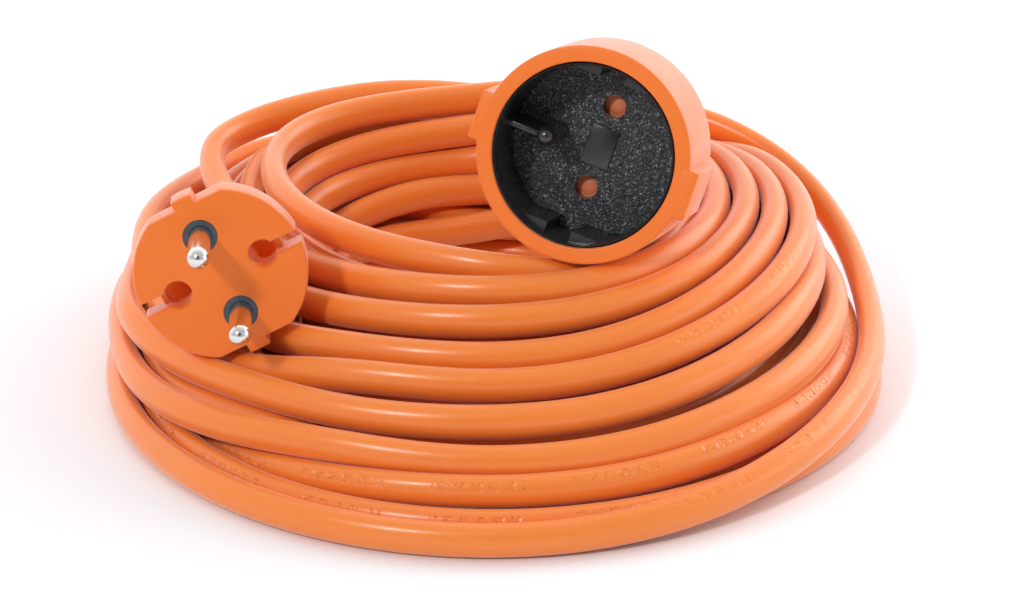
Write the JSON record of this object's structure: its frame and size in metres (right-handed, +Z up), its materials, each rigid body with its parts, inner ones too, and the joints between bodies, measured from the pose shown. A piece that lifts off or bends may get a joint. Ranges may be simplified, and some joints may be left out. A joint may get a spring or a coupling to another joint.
{
  "type": "extension cord",
  "caption": "Coiled orange two-core extension cord with a contour plug and a shuttered two-pole coupler, both lying on the coil.",
  "frame": {"origin": "the middle of the object's box at floor level, under the middle of the coil", "axes": "+Z up from the floor; -Y towards the viewer, the way the plug and the coupler face; +X to the viewer's right"},
  "size_m": [0.1774, 0.1832, 0.0875],
  "materials": {
    "orange_pvc": "moulded PVC, satin with a fine grain",
    "cable_sheath": "extruded PVC sheath, semi gloss, slightly ribbed along the cores",
    "orange_nylon": "moulded nylon, satin",
    "slate_plastic": "moulded, satin, dark blue grey",
    "black_plastic": "glass-filled plastic, rough with a fine sparkle",
    "nickel": "bright nickel plate with fine scratches",
    "brass": "stamped brass, satin",
    "steel": "drawn steel, satin",
    "core_brown": "PVC insulation, satin",
    "core_blue": "PVC insulation, satin"
  },
  "bodies": {
    "cord": {"plug_shell": "orange_pvc", "plug_bend_relief": "orange_pvc", "plug_sheath_end": "orange_pvc", "coupler_shell": "orange_pvc", "coupler_bend_relief": "orange_pvc", "coupler_sheath_end": "orange_pvc", "cable_coil": "cable_sheath", "plug_lead": "cable_sheath", "coupler_lead": "cable_sheath", "plug_bridge": "slate_plastic", "coupler_insert": "black_plastic", "contact_carrier": "black_plastic", "plug_pin_line": "nickel", "plug_pin_neutral": "nickel", "plug_crimp_line": "brass", "plug_crimp_neutral": "brass", "coupler_crimp_line": "brass", "coupler_crimp_neutral": "brass", "contact_line": "brass", "contact_neutral": "brass", "shutter_pivot": "steel", "shutter_spring": "steel", "plug_core_brown": "core_brown", "coupler_core_brown": "core_brown", "plug_core_blue": "core_blue", "coupler_core_blue": "core_blue"},
    "shutter": {"shutter": "orange_nylon"}
  },
  "joints": [
    {"name": "shutter_turn", "type": "hinge", "parent": "cord", "child": "shutter", "pos_m": [0.02448, -0.00942, 0.05908], "axis": [-0.2401, -0.9353, 0.2601], "range_deg": [0, 40], "stiffness_Nm_per_rad": 0.004, "springref_deg": -9.74, "deforming": ["shutter_spring"]}
  ]
}
